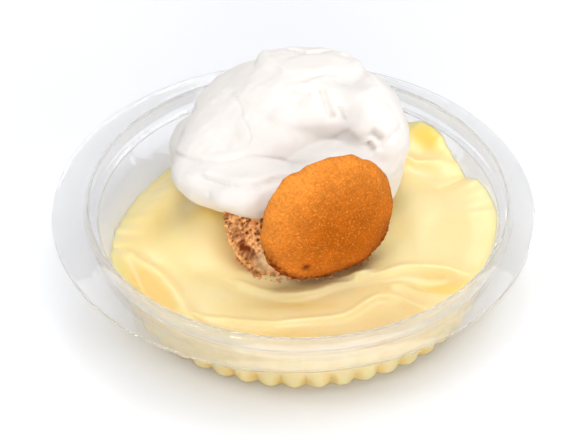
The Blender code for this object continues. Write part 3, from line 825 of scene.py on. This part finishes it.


# The crust's colour is built up: the bake with painted light towards the upper left, the sugar in it, its
# mottled and grainy tone, and then the burnt spot and the dark lower border, which is partly painted shade.
crust = new_material("wafer_crust")
# The bake runs from darker in the middle to paler at the edge; its lighter upper left is painted light.
bake_and_painted_light = add_ramp(
    crust, read_share(crust, "rim"), (0.0, (0.43, 0.100, 0.002, 1.0)), (1.0, (0.86, 0.285, 0.040, 1.0)))
sugar = add_range(crust, add_noise(crust, scale=2100.0, detail=1.0), (0.56, 0.72), (0.0, 0.42))
sugared = lay_over(crust, bake_and_painted_light, sugar, (0.86, 0.40, 0.10, 1.0))
mottle = add_range(crust, add_noise(crust, scale=190.0, detail=5.0), (0.3, 0.7), (0.86, 1.10))
grain = add_noise(crust, scale=1300.0, detail=2.0)
grain_tone = add_range(crust, grain, (0.3, 0.75), (0.82, 1.22))
toned = add_shade(crust, sugared, combine(crust, "MULTIPLY", mottle, grain_tone))
# The burnt spot and the dark lower border, partly painted shade, are laid over in one dark brown.
finish(
    crust, colour=lay_over(crust, toned, read_share(crust, "singe_and_shade"), (0.16, 0.026, 0.003, 1.0)),
    relief=add_bump(crust, grain, strength=0.6, distance=0.00025), Roughness=0.70, Specular_IOR_Level=0.06)
front_wafer.data.materials.append(crust)
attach(front_wafer, "root")
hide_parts("wafer_front")

# The crumb is darker in its pits, which is painted shade in the hollows, and finely specked, with the pale
# patch and the burnt band laid over it.
crumb = new_material("wafer_crumb")
pit_shaded_crumb = add_ramp(
    crumb, read_share(crumb, "pits"), (0.05, (1.0, 0.51, 0.20, 1.0)), (0.65, (0.22, 0.05, 0.01, 1.0)))
speck = add_noise(crumb, scale=1000.0, detail=4.0)
crumb_tone = add_shade(crumb, pit_shaded_crumb, add_range(crumb, speck, (0.32, 0.7), (0.52, 1.45)))
crumb_tone = lay_over(crumb, crumb_tone, read_share(crumb, "pale"), (0.88, 0.64, 0.36, 1.0))
crumb_tone = lay_over(crumb, crumb_tone, read_share(crumb, "burnt"), (0.17, 0.030, 0.004, 1.0))
finish(
    crumb, colour=crumb_tone, relief=add_bump(crumb, speck, strength=0.8, distance=0.0004),
    Roughness=0.8, Specular_IOR_Level=0.08)
back_wafer.data.materials.append(crumb)
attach(back_wafer, "root")
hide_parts("wafer_back")

# The crumbs. Small bits that broke off the wafers when they were pushed in, lying at their feet and half
# sunk in the pudding. One rough grain is made first, and the others are copies of it, each turned and
# stretched its own way.
crumb_least, crumb_most = 0.00018, 0.00050
crumb_roughness = 0.28
crumb_stands_out = 0.3
# The pudding's surface is found by looking straight down from this height.
above_all = 0.08
# The strips they lie in: both ends, how far they stray, and how many there are.
crumb_strips = [
    ((-0.0080, -0.0228), (0.0125, -0.0220), 0.0004, 54),
    ((0.0165, -0.0182), (0.0222, -0.0156), 0.0004, 12),
    ((-0.0160, -0.0140), (-0.0088, -0.0218), 0.0005, 44),
]
bpy.ops.object.select_all(action="DESELECT")
bpy.ops.mesh.primitive_ico_sphere_add(subdivisions=2, radius=1.0)
grain_piece = bpy.context.object
grain_points = points_of(grain_piece)
grain_points *= 1.0 + crumb_roughness * soft_waves(grain_points, 31, 12, 0.8, 1.8)[:, None]
place_points(grain_piece, grain_points)
chance = np.random.default_rng(33)
scattered = []
for (start_x, start_y), (end_x, end_y), spread, count in crumb_strips:
    for _ in range(count):
        along = chance.uniform()
        x = start_x + (end_x - start_x) * along + chance.normal() * spread
        y = start_y + (end_y - start_y) * along + chance.normal() * spread
        size = chance.uniform(crumb_least, crumb_most)
        _, spot, _, _ = pudding.ray_cast(Vector((x, y, above_all)), Vector((0.0, 0.0, -1.0)))
        turned = chance.uniform(0.0, 2.0 * math.pi)
        turn = Matrix.Rotation(turned, 4, Vector(chance.normal(size=3)).normalized())
        width, height = size * chance.uniform(0.6, 1.0), size * chance.uniform(0.5, 0.9)
        stretch = Matrix.Diagonal((size, width, height, 1.0))
        lifted = Matrix.Translation(spot + Vector((0.0, 0.0, size * crumb_stands_out)))
        copy = grain_piece.copy()
        copy.data = grain_piece.data.copy()
        bpy.context.scene.collection.objects.link(copy)
        copy.data.transform(lifted @ turn @ stretch)
        scattered.append(copy)
bpy.data.objects.remove(grain_piece)
bpy.ops.object.select_all(action="DESELECT")
for copy in scattered:
    copy.select_set(True)
bpy.context.view_layer.objects.active = scattered[0]
bpy.ops.object.join()
crumbs = bpy.context.object
crumbs.name = crumbs.data.name = "wafer_crumbs"

loose = new_material("loose_crumb")
patches = add_noise(loose, scale=420.0, detail=2.0)
loose_tone = add_ramp(loose, patches, (0.36, (0.62, 0.22, 0.05, 1.0)), (0.60, (0.90, 0.55, 0.22, 1.0)))
finish(loose, colour=loose_tone, Roughness=0.8)
crumbs.data.materials.append(loose)
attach(crumbs, "root")

# The floor and the light. The floor is a plain white sheet. The sky looks bright where it is seen or
# mirrored, but gives little light. A large soft lamp overhead, a wide one low in front and one at the right
# light the scene. Three small ones, two high at the front left and one behind, draw glints on the plastic.
floor_size, floor_level = 6.0, -0.0001
bpy.ops.object.select_all(action="DESELECT")
bpy.ops.mesh.primitive_plane_add(size=floor_size, location=(0.0, 0.0, floor_level))
floor = bpy.context.object
floor.name = "floor"
floor_paint = new_material("floor_white")
finish(floor_paint, Base_Color=(0.92, 0.935, 0.965, 1.0), Roughness=0.9)
floor.data.materials.append(floor_paint)

sky = bpy.data.worlds.new("sky")
bpy.context.scene.world = sky
sky.use_nodes = True
sky_white = (1.0, 1.0, 1.0, 1.0)
dim = set_inputs(sky.node_tree.nodes["Background"], Color=sky_white, Strength=0.25)
bright = add_node(sky, "Background", Color=sky_white, Strength=0.85)
sky_ray = add_node(sky, "LightPath")
as_light = combine(sky, "MAXIMUM", sky_ray.outputs["Is Diffuse Ray"], sky_ray.outputs["Diffuse Depth"])
sky_mix = mix_shaders(sky, bright, dim)
join(sky, as_light, sky_mix.inputs["Fac"])
join(sky, sky_mix.outputs["Shader"], sky.node_tree.nodes["World Output"].inputs["Surface"])

lamp_aim = Vector((0.0, 0.0, 0.02))
# Each lamp's name, place, width, height and power in watts.
lamps = [
    ("key", (0.24, -0.02, 1.85), 1.20, 1.20, 22.0),
    ("window", (0.08, -1.90, 0.55), 1.50, 0.60, 18.5),
    ("glint_right", (-0.64, -0.87, 1.44), 0.10, 0.24, 2.8),
    ("glint_left", (-1.02, -0.62, 1.34), 0.10, 0.24, 2.2),
    ("side", (1.70, -0.80, 0.30), 0.70, 0.34, 7.5),
    ("strip", (-0.25, 1.60, 1.19), 0.42, 0.12, 3.6),
]
for name, place, width, height, power in lamps:
    data = bpy.data.lights.new(name, "AREA")
    data.shape = "RECTANGLE"
    data.size = width
    data.size_y = height
    data.energy = power
    lamp = bpy.data.objects.new(name, data)
    bpy.context.scene.collection.objects.link(lamp)
    lamp.location = place
    lamp.rotation_euler = (lamp_aim - Vector(place)).to_track_quat("-Z", "Y").to_euler()

# The camera looks down at the bowl from in front, along +Y, at the photo's angle. Light may pass through
# many layers of the clear plastic before it is given up.
camera_elevation = math.radians(39.92)
camera_distance = 0.5052
camera_aim = Vector((-0.00011, 0.0, 0.01764))
camera_sensor_mm, camera_lens_mm = 36.0, 110.58
camera_data = bpy.data.cameras.new("camera")
camera = bpy.data.objects.new("camera", camera_data)
bpy.context.scene.collection.objects.link(camera)
camera_data.sensor_width = camera_sensor_mm
camera_data.lens = camera_lens_mm
camera_back = Vector((0.0, -math.cos(camera_elevation), math.sin(camera_elevation)))
camera.location = camera_aim + camera_back * camera_distance
camera.rotation_euler = (-camera_back).to_track_quat("-Z", "Y").to_euler()
bpy.context.scene.camera = camera
bpy.context.scene.view_settings.view_transform = "Standard"
bpy.context.scene.cycles.transparent_max_bounces = 24
bpy.context.scene.cycles.transmission_bounces = 16
bpy.context.scene.cycles.max_bounces = 20
